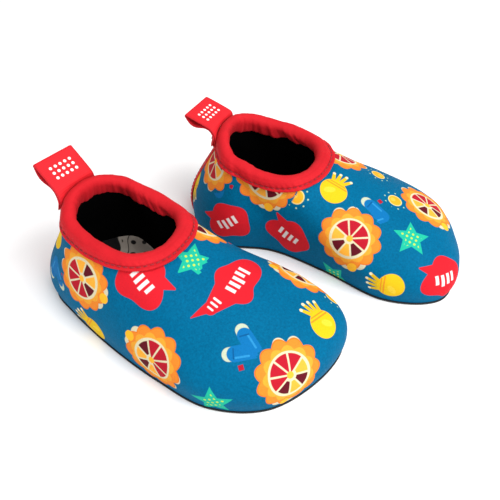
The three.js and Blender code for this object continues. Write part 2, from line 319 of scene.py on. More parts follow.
rubber = Finish("moulded_rubber", 0.6, specular=0.4)
rubber_grain = rubber.cells(0.5)
rubber.paint(rubber.mix("0C0C0D", "232325", rubber.cloud(7)))
rubber.vary_roughness(rubber.cloud(1.2) * 0.25 + 0.5)
rubber.relief(rubber_grain, 0.05)

for side in SIDES:
    ring = np.arange(EDGE_POINTS)[:, None] / EDGE_POINTS
    # a plain rim 3.5 mm wide round a recessed field, and a step where the upper wraps over the edge
    section = np.array([
        (9.0, 0.95), (4.6, 0.95), (4.3, 0.9), (4.2, 0.3), (3.9, 0.05), (3.5, 0.0), (0.4, 0.0),
        (0.05, 0.1), (-0.15, 0.35), (-0.15, 0.7), (0.0, 0.84), (2.1, 0.86), (2.1, 1.9),
        (2.3, OUTSOLE_TOP), (9.0, OUTSOLE_TOP),
    ])
    inset = np.broadcast_to(section[:, 0], (EDGE_POINTS, len(section)))
    rim = sole_line(np.broadcast_to(ring, inset.shape), inset, 0)
    rim[..., 2] = section[:, 1]
    faces = lofted(rim, ring=True)
    # the open middle is closed above and below
    count = len(section)
    faces = [f for f in faces if not (f[0] % count == count - 1)]
    faces.append([i * count for i in range(EDGE_POINTS)])
    faces.append([i * count + count - 1 for i in range(EDGE_POINTS)][::-1])
    points = [rim.reshape(-1, 3)]
    total = rim.shape[0] * count
    field_edge = np.full(EDGE_POINTS, 4.3 + STUD_RADIUS)
    outline = sole_line(ring[:, 0], field_edge, 0)[:, :2]
    for row in range(-14, 15):
        for column in range(-7, 8):
            x = (column + 0.5 * (row % 2)) * STUD_PITCH
            y = row * STUD_PITCH * 0.866
            ahead = np.roll(outline, -1, axis=0)
            crosses = (outline[:, 1] > y) != (ahead[:, 1] > y)
            meets = outline[:, 0] + (y - outline[:, 1]) * (ahead[:, 0] - outline[:, 0]) / (
                ahead[:, 1] - outline[:, 1] + 1e-9)
            if np.sum(crosses & (meets > x)) % 2 == 0:
                continue
            angle = (np.arange(6) + 0.5) * math.pi / 3
            stud = np.stack([
                np.stack([x + r * np.cos(angle), y + r * np.sin(angle), np.full(6, z)], axis=1)
                for r, z in (
                    (STUD_RADIUS, 1.2), (STUD_RADIUS, 0.9),
                    (STUD_RADIUS - 0.25, 0.25), (STUD_RADIUS - 0.6, 0.1),
                )
            ])
            faces += lofted(stud, ring=False, offset=total)
            points.append(stud.reshape(-1, 3))
            total += 24
    sole = mesh_piece("rubber_outsole", side, np.concatenate(points), faces, crease=35)
    wear(sole, rubber)
    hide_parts(f"{side}_outsole")
    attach(sole, f"{side}_shoe")

# ---------------------------------------------------------------------------------------------
# Strobel boards and their seams. A board of stiff woven cloth closes the upper underneath, and a
# thick thread is whipped round its edge. Both are hidden once the shoe is made.
# ---------------------------------------------------------------------------------------------
board_cloth = Finish("board_cloth", 0.95)
x, y, z = board_cloth.xyz()
weave = (x * 6.3).math("SINE") * (y * 6.3).math("SINE") * 0.5 + 0.5
board_cloth.paint(board_cloth.mix("8E8676", "C2BAA8", weave * 0.6 + board_cloth.cloud(3) * 0.4))
board_cloth.relief(weave, 0.12)

seam_thread = Finish("seam_thread", 0.8, sheen=0.2)
x, y, z = seam_thread.xyz()
strands = ((x + y + z * 2) * 9).math("SINE") * 0.5 + 0.5
seam_thread.paint(seam_thread.mix("141416", "3A3A3E", strands))
seam_thread.relief(strands, 0.08)

for side in SIDES:
    wear(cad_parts[f"{side}_strobel_board"], board_cloth)
    wear(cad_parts[f"{side}_strobel_seam"], seam_thread)

# ---------------------------------------------------------------------------------------------
# Uppers. Each is one shell of 2.5 mm neoprene faced with a smooth printed jersey, sewn up the
# heel and wrapped under the foot. The cloth is cut from a printed roll, so the motifs fall
# differently on each shoe and run on round the sides.
# ---------------------------------------------------------------------------------------------
HEEL_HEIGHT = 58
OUTER_HEIGHT = 51
INNER_HEIGHT = 48.5
THROAT_HEIGHT = 47
OPENING_SETBACK = 18
OPENING_LENGTH = 46.5
OPENING_OUTER = 20
OPENING_INNER = 22
UPPER_FOOT = 2.3
NEOPRENE = 2.5
NEOPRENE_TOP = 5.1
BINDING_WIDTH = 8.5
STITCH_PITCH = 2.6
# how the wall leaves the sole (bulge, rise) and the collar (reach, slope in degrees)
SIDE_SHAPE = np.array([5.5, 17, 18, 77])
HEEL_SHAPE = np.array([5, 20, 18, 87])
TOE_SHAPE = np.array([7.5, 23, 57, 19])
RIBS = 720
ROWS = 180


def opening_keys():
    """The collar's top edge at each station."""
    share, side_of = STATIONS[:, 3], STATIONS[:, 4]
    half = np.where(side_of > 0, OPENING_OUTER, OPENING_INNER)
    oval = np.maximum(0, 1 - np.abs(2 * share - 1) ** 2.4) ** (1 / 2.2)
    side_heights = [INNER_HEIGHT, (INNER_HEIGHT + OUTER_HEIGHT) / 2, OUTER_HEIGHT]
    level = np.choose((side_of + 1).astype(int), side_heights)
    height = level + (HEEL_HEIGHT - level) * np.maximum(0, 1 - 1.8 * share) ** 1.6
    height += (THROAT_HEIGHT - level) * np.maximum(0, 2 * share - 1) ** 1.5
    ahead = OPENING_SETBACK - SHOE_LENGTH / 2 + share * OPENING_LENGTH
    return np.stack([side_of * half * oval, ahead, height], axis=1)


def wall_surface():
    """The upper's outer face as a grid of points, its normals, and the length of each rib."""
    t = np.arange(RIBS) / RIBS
    foot = sole_line(t, np.zeros(RIBS), UPPER_FOOT)
    top = along_loop(opening_keys(), t)
    toe, heel = STATIONS[:, 5:6], STATIONS[:, 6:7]
    side_share = 1 - toe - heel * (1 - toe)
    shape = along_loop(SIDE_SHAPE * side_share + HEEL_SHAPE * heel * (1 - toe) + TOE_SHAPE * toe, t)
    bulge, rise, reach, slope = shape.T
    low = sole_line(t, -bulge, 0)
    low[:, 2] = UPPER_FOOT + rise
    away = (foot - top)[:, :2]
    away /= np.linalg.norm(away, axis=1, keepdims=True)
    slope = np.radians(slope)[:, None]
    high = top + np.concatenate([away * np.cos(slope), -np.sin(slope)], axis=1) * reach[:, None]
    s = np.linspace(0, 1, 300)[None, :, None]
    fine = (1 - s) ** 3 * foot[:, None] + 3 * (1 - s) ** 2 * s * low[:, None]
    fine = fine + 3 * (1 - s) * s * s * high[:, None] + s**3 * top[:, None]
    steps = np.linalg.norm(np.diff(fine, axis=1), axis=2)
    run = np.concatenate([np.zeros((RIBS, 1)), np.cumsum(steps, axis=1)], axis=1)
    share = np.linspace(0, 1, ROWS + 1)
    grid = np.empty((RIBS, ROWS + 1, 3))
    for i in range(RIBS):
        for axis in range(3):
            grid[i, :, axis] = np.interp(share * run[i, -1], run[i], fine[i, :, axis])
    round_way = np.roll(grid, -1, axis=0) - np.roll(grid, 1, axis=0)
    normal = np.cross(round_way, np.gradient(grid, axis=1))
    normal /= np.linalg.norm(normal, axis=2, keepdims=True)
    return grid, normal, run[:, -1]


WALL, WALL_NORMAL, RIB_LENGTH = wall_surface()


def rib_length(t):
    lengths = np.append(RIB_LENGTH, RIB_LENGTH[0])
    return np.interp((np.asarray(t, float) % 1) * RIBS, np.arange(RIBS + 1), lengths)


def wall(t, drop, depth):
    """Point of the wall: drop down the outside from the collar's top edge, depth into the wall."""
    t, drop, depth = np.broadcast_arrays(*(np.asarray(v, float) for v in (t, drop, depth)))
    column = (t % 1) * RIBS
    i = np.floor(column).astype(int) % RIBS
    k = (i + 1) % RIBS
    a = (column - np.floor(column))[..., None]
    row = (1 - drop / rib_length(t)) * ROWS
    j = np.clip(np.floor(row).astype(int), 0, ROWS - 1)
    b = (row - j)[..., None]

    def between(grid):
        low = grid[i, j] * (1 - a) + grid[k, j] * a
        return low * (1 - b) + (grid[i, j + 1] * (1 - a) + grid[k, j + 1] * a) * b

    return between(WALL) - between(WALL_NORMAL) * depth[..., None]


COLLAR_STEPS = np.linalg.norm(WALL[:, -12] - np.roll(WALL[:, -12], -1, axis=0), axis=1)
COLLAR_RUN = np.concatenate([[0], np.cumsum(COLLAR_STEPS)])
STITCHES = round(COLLAR_RUN[-1] / STITCH_PITCH)


def stitch_count(t):
    """Stitches sewn round the collar from the heel to station share t."""
    return np.interp(np.asarray(t) % 1, np.arange(RIBS + 1) / RIBS, COLLAR_RUN / COLLAR_RUN[-1]) * STITCHES


def rough(points, size, seed=0.0):
    """Smooth unevenness, about -1 to 1, so many millimetres across."""
    flat = points.reshape(-1, 3) / size + seed
    return np.array([noise.noise(Vector(p)) for p in flat]).reshape(points.shape[:-1]) * 1.6


# motifs: how far each kind reaches, in millimetres, then where each one falls on the shoe as
# kind, share of the way round, drop down the wall and turn in degrees
REACH = {"rosette": 16, "overalls": 11, "splash": 17, "puff": 15, "star": 8, "tassel": 10, "sun": 6}
KINDS = list(REACH)
ROSETTE_EDGE = 15.4
MOTIFS = {
    "right": [
        ("rosette", 0.193, 22, -143), ("tassel", 0.07, 20, 70), ("puff", 0.349, 12, -48),
        ("star", 0.488, 14, 30), ("splash", 0.494, 34, 6), ("rosette", 0.298, 49, 4),
        ("rosette", 0.452, 75, 103), ("overalls", 0.434, 55, -157), ("star", 0.365, 70, 70),
        ("tassel", 0.525, 72, -22), ("sun", 0.583, 75, -30), ("rosette", 0.612, 60, -34),
        ("rosette", 0.645, 13, -41), ("tassel", 0.192, 47, 55), ("overalls", 0.115, 34, 20),
        ("splash", 0.72, 32, 160), ("tassel", 0.76, 14, -20), ("rosette", 0.84, 34, 60),
        ("sun", 0.79, 45, 0), ("star", 0.885, 13, 40), ("overalls", 0.905, 38, 20),
        ("splash", 0.96, 24, 100), ("star", 0.67, 68, 15),
    ],
    "left": [
        ("rosette", 0.385, 16, -14), ("tassel", 0.56, 16, 78), ("rosette", 0.724, 5, 123),
        ("rosette", 0.912, 13, -58), ("overalls", 0.87, 19, 130), ("tassel", 0.97, 39, 133),
        ("puff", 0.839, 35, -41), ("puff", 0.748, 39, 39), ("rosette", 0.628, 40, 158),
        ("overalls", 0.553, 38, 149), ("sun", 0.494, 43, 50), ("sun", 0.43, 34, -130),
        ("rosette", 0.463, 60, 178), ("star", 0.553, 58, 148), ("tassel", 0.635, 69, -54),
        ("puff", 0.56, 83, 27), ("splash", 0.28, 24, 170), ("star", 0.34, 42, 0),
        ("rosette", 0.25, 47, 30), ("tassel", 0.2, 20, -40), ("overalls", 0.17, 42, 10),
        ("rosette", 0.1, 30, 200), ("sun", 0.04, 15, 0), ("star", 0.7, 62, 0),
        ("star", 0.385, 62, 30), ("sun", 0.66, 12, 0),
    ],
}


def motif_coordinates(corners, motifs):
    """Millimetres on the nearest motif for every corner of every face; each kind has its own band."""
    centre = np.array([wall(t, drop, 0) for kind, t, drop, turn in motifs])
    ahead = np.array([wall(t + 0.004, drop, 0) - wall(t - 0.004, drop, 0) for kind, t, drop, turn in motifs])
    up = np.array([wall(t, drop - 0.8, 0) - wall(t, drop + 0.8, 0) for kind, t, drop, turn in motifs])
    ahead /= np.linalg.norm(ahead, axis=1, keepdims=True)
    up -= ahead * np.sum(ahead * up, axis=1, keepdims=True)
    up /= np.linalg.norm(up, axis=1, keepdims=True)
    turn = np.radians([m[3] for m in motifs])[:, None]
    along = ahead * np.cos(turn) + up * np.sin(turn)
    across = up * np.cos(turn) - ahead * np.sin(turn)
    reach = np.array([REACH[m[0]] for m in motifs])
    whole = np.array([ROSETTE_EDGE if m[0] == "rosette" else 0 for m in motifs])
    gap = np.linalg.norm(corners.mean(axis=1)[:, None] - centre[None], axis=2)
    nearest = np.where(gap < whole, gap - 100, gap - reach).argmin(axis=1)
    offset = corners - centre[nearest][:, None]
    flat = np.stack([
        np.sum(offset * along[nearest][:, None], axis=2),
        np.sum(offset * across[nearest][:, None], axis=2),
    ], axis=2)
    # distances are kept as the cloth bends away
    flat *= (np.linalg.norm(offset, axis=2) / np.maximum(np.linalg.norm(flat, axis=2), 0.01))[..., None]
    kind = np.array([KINDS.index(m[0]) for m in motifs])[nearest]
    flat[..., 0] += kind[:, None] * 100 + 50
    return flat


jersey = Finish("printed_jersey", 0.7, specular=0.03)
band_u, y = jersey.uv("motif")
band = (band_u / 100).math("FLOOR")
x = band_u - band * 100 - 50
r = length_of(x, y)
angle = y.math("ARCTAN2", x)


def wedge(degrees, inner, outer):
    """One slice of a round fruit, pointing this way."""
    c, s = math.cos(math.radians(degrees)), math.sin(math.radians(degrees))
    ahead, aside = x * c + y * s, (y * c - x * s).size()
    return (aside - ahead * 0.4 + 0.35).most(length_of(x, y) - outer).most(inner - ahead)


def disc(across, up, radius):
    return length_of(x - across, y - up) - radius


def oval(across, up, width, height, degrees=0):
    c, s = math.cos(math.radians(degrees)), math.sin(math.radians(degrees))
    px, py = x - across, y - up
    return (length_of((px * c + py * s) / width, (py * c - px * s) / height) - 1) * min(width, height)


def stroke(x0, y0, x1, y1, start, end=None):
    """A line with round ends, from one thickness to another."""
    end = start if end is None else end
    dx, dy = x1 - x0, y1 - y0
    px, py = x - x0, y - y0
    share = (px * dx + py * dy).math("DIVIDE", dx * dx + dy * dy, clamp=True)
    return length_of(px - share * dx, py - share * dy) - (share * (end - start) + start)


def scallops(count, radius, depth, shift=0.0):
    return r - (angle * (count / 2) + shift).math("COSINE").size() * depth - radius


def fan(count, start, pitch, reach, size):
    """Small discs set round part of a ring."""
    marks = []
    for k in range(count):
        at = math.radians(start + pitch * k)
        marks.append(disc(reach * math.cos(at), reach * math.sin(at), size))
    nearest = marks[0]
    for mark in marks[1:]:
        nearest = nearest.least(mark)
    return nearest


fold = ((angle / (2 * math.pi) * 5 + 0.5).math("FRACT") - 0.5).size() * (2 * math.pi / 5)
tip_x, tip_y = r * fold.math("COSINE"), r * fold.math("SINE")
wave = (angle * 4 + 1).math("COSINE") * 0.9 + (angle * 3 + 2).math("SINE") * 0.7
uneven = ((x / 3.0 + 0.5).math("FLOOR") * 2.3).math("SINE")
bar_ends = (y + uneven * 0.5).size() - 2.5 - uneven * 0.3
bars = (x.cell(3.0).size() - 0.82).most(bar_ends).most((x - 3).size() - 7.6)
PRINT = {
    "rosette": [
        (fan(2, 116, 30, 12.5, 2.9).least(fan(2, -64, 30, 12.5, 2.9)), "CBC4A4"),
        (scallops(11, 12.9, 2.0), "D9701F"),
        (scallops(11, 12.4, 1.9), "E2822C"),
        (scallops(11, 10.1, 1.6, 1.5), "E29C33"),
        (r - 9.5, "D3CCA8"),
        (wedge(22.5, 1.2, 8.6).least(wedge(67.5, 1.2, 8.6)).least(wedge(-22.5, 1.2, 8.6)).least(
            wedge(-67.5, 1.2, 8.6)), "AF1B2A"),
        (wedge(112.5, 2.6, 8.2).least(wedge(202.5, 2.6, 8.2)), "5C1520"),
        (wedge(157.5, 2.6, 8.2).least(wedge(247.5, 2.6, 8.2)), "F0A83A"),
        (r - 1.5, "F2AE36"),
        (disc(-9.6, 10.0, 2.3), "F2B22C"),
    ],
    "overalls": [
        (stroke(-4.5, -3.0, -5.5, -4.3, 2.8).least(stroke(4.5, -3.0, 5.5, -4.3, 2.8)), "B9C1A8"),
        (stroke(-0.8, 3.6, -4.2, -2.4, 3.2).least(stroke(-0.8, 3.6, 4.2, -2.4, 3.2)), "0E69A4"),
        (stroke(-2.1, 3.6, -5.0, -1.6, 0.4).least(stroke(2.1, 2.8, 5.4, -1.4, 0.4)), "2A86BC"),
        (stroke(-5.4, -1.4, -2.8, -3.9, 0.3).least(stroke(2.8, -3.9, 6.0, -1.9, 0.3)), "0A5286"),
        ((x - 7.6).size() + (y - 2.3).size() - 1.5, "A81A2A"),
    ],
    "splash": [
        (stroke(-4.5, 1.0, -14.5, 3.4, 6.4, 2.8).least(stroke(-14.5, 4.2, -21.5, 8.4, 2.4, 0.2)), "CC1F2A"),
        (length_of((x - 3.0) / 1.5, y) - wave - 8.8, "CC1F2A"),
        (bars, "E2DCDA"),
        (stroke(-10.4, 1.2, -9.9, 4.2, 0.5).least(stroke(-12.6, 1.6, -12.1, 4.4, 0.45)).least(
            stroke(-14.8, 2.4, -14.4, 4.6, 0.4)), "E2DCDA"),
    ],
    "puff": [
        (length_of((x - 1) / 1.1, y) - wave - 10.2, "CC1F2A"),
        (stroke(6, 5, 12.5, 8.0, 3.4, 0.5), "CC1F2A"),
        (bars.most((x - 1.5).size() - 5.6), "E2DCDA"),
    ],
    "star": [
        ((tip_x - 7.9) * 0.42 + tip_y * 0.91 - 0.5, "1FAE90"),
        (((tip_x - 7.9) * 0.42 + tip_y * 0.91 + 0.7).most(
            length_of((x + y * 0.4).cell(2.5), (y - x * 0.4).cell(2.5)) - 0.6), "BBD04A"),
    ],
    "tassel": [
        (stroke(-1.5, 3.0, -5.2, 8.2, 1.05, 0.7).least(stroke(-0.4, 3.0, -2.2, 9.8, 1.05, 0.7)).least(
            stroke(1.0, 3.0, 0.9, 9.4, 1.05, 0.7)).least(stroke(2.5, 3.0, 4.0, 8.2, 1.05, 0.7)), "D8B01C"),
        (oval(0, -1.6, 6.7, 6.3), "DEB61B"),
        (disc(-5.2, 8.2, 0.75).least(disc(-2.2, 9.8, 0.75)).least(disc(0.9, 9.4, 0.75)).least(
            disc(4.0, 8.2, 0.75)), "E8D9B0"),
        (oval(1.9, -2.2, 2.9, 1.5, -35), "E4C236"),
        (((y - 1.6).size() - 0.35).most(x.size() - 5.4).least(
            ((y - 3.0).size() - 0.3).most(x.size() - 4.2)), "DE8A24"),
    ],
    "sun": [
        (fan(9, 0, 40, 5.4, 0.4), "A8C8A8"),
        (r - 3.6, "DCCB84"),
        (r - 3.1, "EBA428"),
        (disc(0.8, 0.8, 1.3), "F0B646"),
    ],
}
knit = ((band_u * 10.5).math("SINE") * (y * 7.4).math("SINE")) * 0.5 + 0.5
grain = (jersey.cloud(0.9, 3) - 0.5) * 1.8 + 0.5
cloth = jersey.mix("004C70", "006C96", jersey.cloud(26, 3) * 0.4 + grain * 0.6)
for kind, layers in PRINT.items():
    of_kind = band.math("COMPARE", float(KINDS.index(kind)), 0.5)
    for distance, code in layers:
        cloth = jersey.mix(cloth, code, inside(distance) * of_kind)
cloth = jersey.mix(cloth, "06222E", (0.55 - jersey.cloud(0.55, 1)).most(0) * 0.35)
jersey.paint(cloth)
jersey.vary_roughness(jersey.cloud(0.8) * 0.2 + 0.52)
jersey.relief(knit * 0.4 + jersey.cloud(0.6) * 0.6, 0.06)

# rows from the sole up the printed outside, then back down the inside, which carries no print
OUTSIDE_ROWS = 89
INSIDE_ROWS = 12
UNPRINTED = (990, 0)


def corner_points(piece):
    """Number of the point at each corner of each face."""
    numbers = np.empty(len(piece.data.loops), int)
    piece.data.loops.foreach_get("vertex_index", numbers)
    return numbers


for side in SIDES:
    t = np.arange(300) / 300
    length = rib_length(t)
    rows = []
    for share in np.linspace(0, 1, OUTSIDE_ROWS):
        drop = length + (NEOPRENE_TOP - length) * share
        skin = wall(t, drop, 0)
        swell = 0.4 * rough(skin, 24, 3.1 if side == "left" else 0) + 0.12 * rough(skin, 8)
        swell *= np.minimum(1, (length - drop) / 6 + 0.15)
        # the stitches pull the cloth in under the binding's edge
        pull = np.exp(-np.maximum(0, drop - BINDING_WIDTH) / 2.6)
        swell -= pull * (0.22 + 0.13 * np.cos(2 * math.pi * stitch_count(t) / 2))
        rows.append(wall(t, drop, -swell))
    for share in np.linspace(0, 1, INSIDE_ROWS):
        rows.append(wall(t, NEOPRENE_TOP + (length - NEOPRENE_TOP) * share, NEOPRENE))
    turned_under = ((2.0, 2.2), (1.95, 1.2), (1.7, 0.96), (1.2, 0.9), (0.6, 0.96), (0.3, 1.2), (0.12, 1.7))
    for inset, height in turned_under:
        rows.append(sole_line(t, np.full(300, inset), height))
    grid = np.stack(rows, axis=1)
    upper = mesh_piece("printed_upper", side, grid, lofted(grid, ring=True))
    faces = corner_points(upper).reshape(-1, 4)
    corners = grid.reshape(-1, 3)[faces]
    flat = motif_coordinates(corners, MOTIFS[side])
    section = faces % grid.shape[1]
    past_outside = section.min(axis=1) >= OUTSIDE_ROWS - 1
    hidden = past_outside & (section.max(axis=1) <= OUTSIDE_ROWS + INSIDE_ROWS)
    flat[hidden] = UNPRINTED
    layer = upper.data.uv_layers.new(name="motif")
    layer.data.foreach_set("uv", flat.reshape(-1))
    wear(upper, jersey)
    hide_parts(f"{side}_upper")
    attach(upper, f"{side}_shoe")

# ---------------------------------------------------------------------------------------------
# Heel strips. A 12 mm strip of red binding covers the back seam from the collar down to the
# sole. It is sewn down along both edges with dark red thread.
# ---------------------------------------------------------------------------------------------
STRIP_HALF = 6.0
STRIP_FACE = 1.1
STRIP_BACK = 0.3
STRIP_STITCH = 4.7
THREAD = 0.3


def heel_station(across, drop):
    """Station share of the wall point so far across from the heel's middle line."""
    near = np.linspace(-0.13, 0.13, 261)
    return np.interp(across, wall(near, drop, 0)[:, 0], near)


def threads(name, side, middle, outward, girth):
    """Lengths of thread: each has its own row of middles, and girth is the radius at each point."""
    run = np.gradient(middle, axis=1)
    run /= np.linalg.norm(run, axis=2, keepdims=True)
    beside = np.cross(run, outward)
    beside /= np.linalg.norm(beside, axis=2, keepdims=True)
    lift = np.cross(beside, run)
    angle_of = np.arange(6) * math.pi / 3
    ring = lift[:, :, None] * np.cos(angle_of)[:, None] + beside[:, :, None] * np.sin(angle_of)[:, None]
    grid = middle[:, :, None] + ring * np.asarray(girth)[:, None, None]
    faces = []
    for k in range(len(grid)):
        faces += lofted(grid[k], ring=False, offset=k * grid.shape[1] * 6)
    return mesh_piece(name, side, grid, faces, crease=70)


def ring_uv(piece, name, shape, across, along):
    """UV map of a lofted piece: across by row and along by section point, each with its closing value."""
    rows, count = shape[:2]
    corner_of = corner_points(piece)
    row, point = corner_of // count, corner_of % count
    quads = 4 * (len(corner_of) // 4)
    for index, top in ((row, rows), (point, count)):
        four = index[:quads].reshape(-1, 4)
        closing = (four.max(axis=1) == top - 1) & (four.min(axis=1) == 0) & (top > 2)
        four[(four == 0) & closing[:, None]] = top
    layer = piece.data.uv_layers.new(name=name)
    layer.data.foreach_set("uv", np.stack([across[row], along[point]], axis=1).reshape(-1))


strip_cloth = Finish("red_strip", 0.7, sheen=0.3, sheen_colour="FFB0A8")
x, y, z = strip_cloth.xyz()
strip_ribs = (z * 8.4).math("SINE") * 0.5 + 0.5
strip_cloth.paint(strip_cloth.mix("C41A24", "E42C34", strip_cloth.cloud(9) * 0.6 + strip_ribs * 0.3))
strip_cloth.vary_roughness(strip_cloth.cloud(1) * 0.2 + 0.6)
strip_cloth.relief(strip_ribs * 0.6 + strip_cloth.cloud(0.5) * 0.4, 0.08)

red_thread = Finish("red_thread", 0.55, sheen=0.2, sheen_colour="FFB0A8")
x, y, z = red_thread.xyz()
twist = ((x + y + z * 1.7) * 14).math("SINE") * 0.5 + 0.5
red_thread.paint(red_thread.mix("6E0D18", "A81826", twist * 0.7 + red_thread.cloud(5) * 0.3))
red_thread.relief(twist, 0.06)

for side in SIDES:
    foot = rib_length(0) - 0.6
    drops = np.linspace(BINDING_WIDTH + 0.3, foot, 60)
    half_x = np.array([0, 2.0, 4.0, 4.5, 4.7, 4.9, 5.2, 5.75, 5.95, STRIP_HALF])
    face_x = np.concatenate([-half_x[:0:-1], half_x])
    sunk = 0.18 * np.exp(-((np.abs(face_x) - STRIP_STITCH) / 0.3) ** 2)
    round_off = 0.35 * np.clip((np.abs(face_x) - 5.6) / 0.4, 0, 1) ** 2
    rows = []
    for drop in drops:
        t = heel_station(face_x, drop)
        outer = wall(t, drop, -(STRIP_FACE - sunk - round_off + 0.06 * math.sin(drop * 1.7)))
        back_x = np.linspace(5.9, -5.9, 9)
        inner = wall(heel_station(back_x, drop), drop, -STRIP_BACK)
        rows.append(np.concatenate([outer, inner]))
    grid = np.stack(rows)
    strip = mesh_piece("heel_strip_cloth", side, grid, lofted(grid, ring=False))
    wear(strip, strip_cloth)
    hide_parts(f"{side}_heel_strip")
    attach(strip, f"{side}_shoe")
    middles, outwards = [], []
    for line in (-STRIP_STITCH, STRIP_STITCH):
        for start in np.arange(BINDING_WIDTH + 1.4, foot - 2.8, STITCH_PITCH):
            drop = start + np.array([0, 0.35, 1.1, 1.85, 2.2])
            t = np.array([heel_station(line, d) for d in drop])
            lift = STRIP_FACE - 0.18 + np.array([-0.15, 0.12, 0.2, 0.12, -0.15])
            middles.append(wall(t, drop, -lift))
            outwards.append(wall(t, drop, -1) - wall(t, drop, 0))
    thickness = [0.2, THREAD, THREAD, THREAD, 0.2]
    sewing = threads("heel_stitches", side, np.array(middles), np.array(outwards), thickness)
    wear(sewing, red_thread)
    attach(sewing, f"{side}_shoe")

# ---------------------------------------------------------------------------------------------
# Linings. A black knitted cloth is bonded inside the neoprene, from the collar down to the
# insole. It lies a little unevenly round the heel and the ankle. Its colour is painted darker
# than the black cloth itself, as painted shade inside the shoe.
# ---------------------------------------------------------------------------------------------
LINING_FACE = 3.6
LINING_BACK = 2.85
LINING_TOP = 5.2
LINING_LIFT = 1.6

shade_darkened_black_knit = Finish("shade_darkened_black_knit", 1.0, specular=0.02)
x, y, z = shade_darkened_black_knit.xyz()
wales = ((x + y) * 5.2).math("SINE") * (z * 7).math("SINE") * 0.5 + 0.5
# painted shade: these near-black colours are darker than the black cloth, standing in for the shade inside
# the shoe
shade_darkened_black_knit.paint(shade_darkened_black_knit.mix("010101", "060607", shade_darkened_black_knit.cloud(2.5) * 0.7 + wales * 0.3))
shade_darkened_black_knit.relief(wales * 0.7 + shade_darkened_black_knit.cloud(0.7) * 0.3, 0.15)

for side in SIDES:
    t = np.arange(200) / 200
    foot = rib_length(t) - LINING_LIFT
    rows = []
    for share in np.linspace(0, 1, 44):
        drop = LINING_TOP + (foot - LINING_TOP) * share
        flat = wall(t, drop, LINING_FACE)
        ease = math.sin(math.pi * share) * (0.25 * rough(flat, 9) + 0.2)
        rows.append(wall(t, drop, LINING_FACE + np.maximum(0, ease)))
    for share in np.linspace(1, 0, 12):
        rows.append(wall(t, LINING_TOP + (foot - LINING_TOP) * share, LINING_BACK))
    grid = np.stack(rows, axis=1)
    inner = mesh_piece("knit_lining", side, grid, lofted(grid, ring=True))
    wear(inner, shade_darkened_black_knit)
    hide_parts(f"{side}_lining")
    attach(inner, f"{side}_shoe")

# ---------------------------------------------------------------------------------------------
# Insoles. A 2.5 mm foam footbed is faced with black cloth. Beside the heel its edges are raised,
# the inner one most. It carries a grey printed patch with black spots.
# ---------------------------------------------------------------------------------------------
INSOLE_FOOT = 3.6
INSOLE = 2.5
INSOLE_INSET = 4.3
CUP_INNER = 9.0
CUP_OUTER = 4.0

footbed = Finish("footbed_cloth", 0.9, sheen=0.15, specular=0.15)
x, y = footbed.uv("flat")
ripple = (y.math("MULTIPLY_ADD", 0.4, 1.0)).math("SINE") * 1.6 + (x * 0.5).math("SINE") * 1.2
patch = length_of(x + 19, (y + 40) / 1.5) - ripple - 10
spots = length_of((x + y * 0.35).cell(6.4), (y - x * 0.3).cell(7.8) / 1.5) - 1.15
spots = spots.least((y - x * 0.2 + 43 + ripple).size() - 0.35)
footbed_colour = footbed.mix("070708", "151517", footbed.cloud(2))
footbed_colour = footbed.mix(footbed_colour, "A39A90", inside(patch, 0.3))
footbed_colour = footbed.mix(footbed_colour, "0C0A0A", inside(spots, 0.2) * inside(patch + 1.5, 0.3))
footbed.paint(footbed_colour)
footbed.relief(footbed.cells(0.6) * 0.6 + footbed.cloud(1.4) * 0.4, 0.12)

for side in SIDES:
    outline = sole_line(np.arange(1400) / 1400, np.full(1400, INSOLE_INSET), 0)[:, :2]
    heel_end, toe_end = outline[:, 1].argmin(), outline[:, 1].argmax()
    outer_edge = np.roll(outline, -heel_end, axis=0)[:(toe_end - heel_end) % 1400]
    inner_edge = np.roll(outline, -toe_end, axis=0)[:(heel_end - toe_end) % 1400][::-1]
    low_y, high_y = outline[heel_end, 1] + 0.05, outline[toe_end, 1] - 0.05
    rows, unrolled = [], []
    for share in np.linspace(0, math.pi, 100):
        y_at = low_y + (high_y - low_y) * (1 - math.cos(share)) / 2
        right_x = np.interp(y_at, outer_edge[:, 1], outer_edge[:, 0])
        left_x = np.interp(y_at, inner_edge[:, 1], inner_edge[:, 0])
        k = np.sin(np.linspace(-1, 1, 41) * math.pi / 2)
        x_at = (left_x + right_x) / 2 + (right_x - left_x) / 2 * k
        from_edge = (1 - np.abs(k)) * (right_x - left_x) / 2
        rim = np.where(k < 0, CUP_INNER, CUP_OUTER) * math.exp(-(((y_at + 38) / 26) ** 2))
        rim *= min(1, (y_at - low_y) / 6)
        rise = rim * np.clip(1 - from_edge / 5.5, 0, 1) ** 2.2
        round_edge = 0.9 * np.exp(-from_edge / 0.35)
        crown = 0.3 * math.sin(share) * (1 - k * k)
        top = INSOLE_FOOT + INSOLE - round_edge + rise + crown
        under = INSOLE_FOOT + 0.02 + np.maximum(0, rise - 1.2)
        upper_row = np.stack([x_at, np.full(41, y_at), top], axis=1)
        lower_row = np.stack([x_at, np.full(41, y_at), under], axis=1)[::-1]
        rows.append(np.concatenate([upper_row, lower_row]))
        run = np.concatenate([[0], np.cumsum(np.hypot(np.diff(x_at), np.diff(top)))])
        run -= np.interp(0, k, run) - (left_x + right_x) / 2
        unrolled.append(np.concatenate([run, run[::-1]]))
    grid = np.stack(rows)
    pad = mesh_piece("footbed", side, grid, lofted(grid, ring=False))
    corner_of = corner_points(pad)
    layer = pad.data.uv_layers.new(name="flat")
    flat = np.stack([np.stack(unrolled).reshape(-1), grid.reshape(-1, 3)[:, 1]], axis=1)
    layer.data.foreach_set("uv", flat[corner_of].reshape(-1))
    wear(pad, footbed)
    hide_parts(f"{side}_insole")
    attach(pad, f"{side}_shoe")

